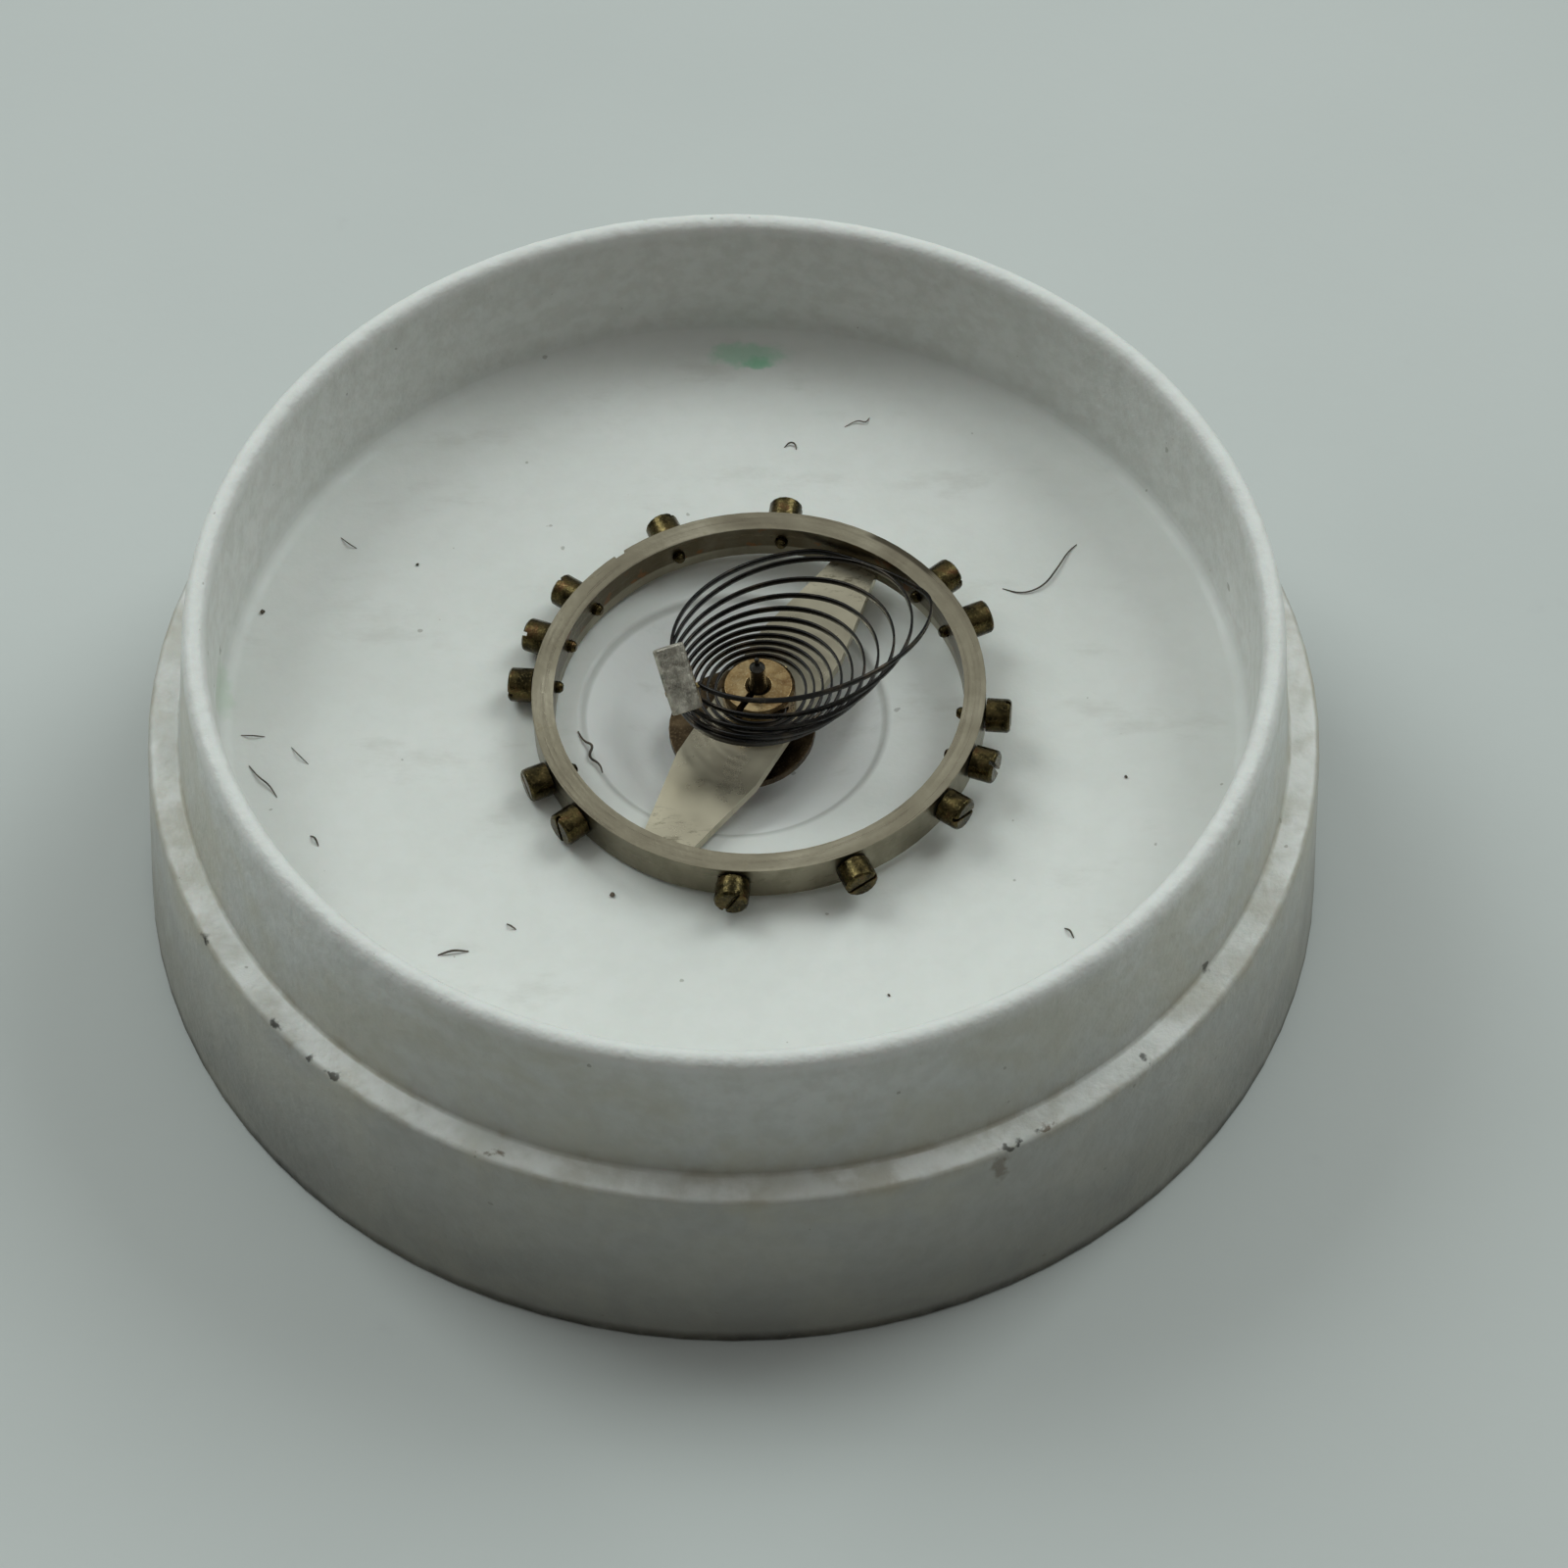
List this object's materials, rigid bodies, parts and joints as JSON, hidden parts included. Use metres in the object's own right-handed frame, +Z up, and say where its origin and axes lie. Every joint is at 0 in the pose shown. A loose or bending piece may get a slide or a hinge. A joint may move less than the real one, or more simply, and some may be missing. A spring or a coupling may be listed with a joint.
{
  "type": "balance complete in parts dish",
  "caption": "Screwed watch balance wheel with staff, rollers, collet, hairspring and stud, lying in a small round white plastic parts dish.",
  "frame": {"origin": "middle of the dish's open underside, on the surface it stands on", "axes": "+Z up through the dish's axis, +X to the right and +Y away from the viewer in the picture's view"},
  "size_m": [0.0254, 0.0254, 0.0082],
  "materials": {
    "dish_plastic": "satin, soiled",
    "nickel_rim": "satin nickel, tarnished",
    "screw_brass": "tarnished",
    "staff_steel": "dark polished",
    "collet_brass": "turned",
    "pin_brass": "satin",
    "roller_bronze": "tarnished",
    "ruby": "polished",
    "blued_steel": "dark blued",
    "stud_steel": "scuffed"
  },
  "bodies": {
    "dish": {"dish": "dish_plastic"},
    "stud": {"hairspring_stud": "stud_steel", "stud_pin": "pin_brass", "hairspring": "blued_steel"},
    "balance": {"balance_wheel": "nickel_rim", "balance_staff": "staff_steel", "hairspring_collet": "collet_brass", "collet_pin": "pin_brass", "roller_table": "roller_bronze", "safety_roller": "roller_bronze", "impulse_jewel": "ruby", "balance_screw_01": "screw_brass", "balance_screw_02": "screw_brass", "balance_screw_03": "screw_brass", "balance_screw_04": "screw_brass", "balance_screw_05": "screw_brass", "balance_screw_06": "screw_brass", "balance_screw_07": "screw_brass", "balance_screw_08": "screw_brass", "balance_screw_09": "screw_brass", "balance_screw_10": "screw_brass", "balance_screw_11": "screw_brass", "balance_screw_12": "screw_brass", "balance_screw_13": "screw_brass", "balance_screw_14": "screw_brass"}
  },
  "joints": [
    {"name": "balance_lift", "type": "slide", "parent": "dish", "child": "stud", "axis": [0, 0, 1], "range_m": [0, 0.012]},
    {"name": "balance_swing", "type": "hinge", "parent": "stud", "child": "balance", "pos_m": [0.00055, -0.00016, 0.00509], "axis": [-0.0439, -0.014, 0.9989], "range_deg": [-270, 270], "stiffness_Nm_per_rad": 0.00000064, "deforming": ["hairspring"]}
  ]
}
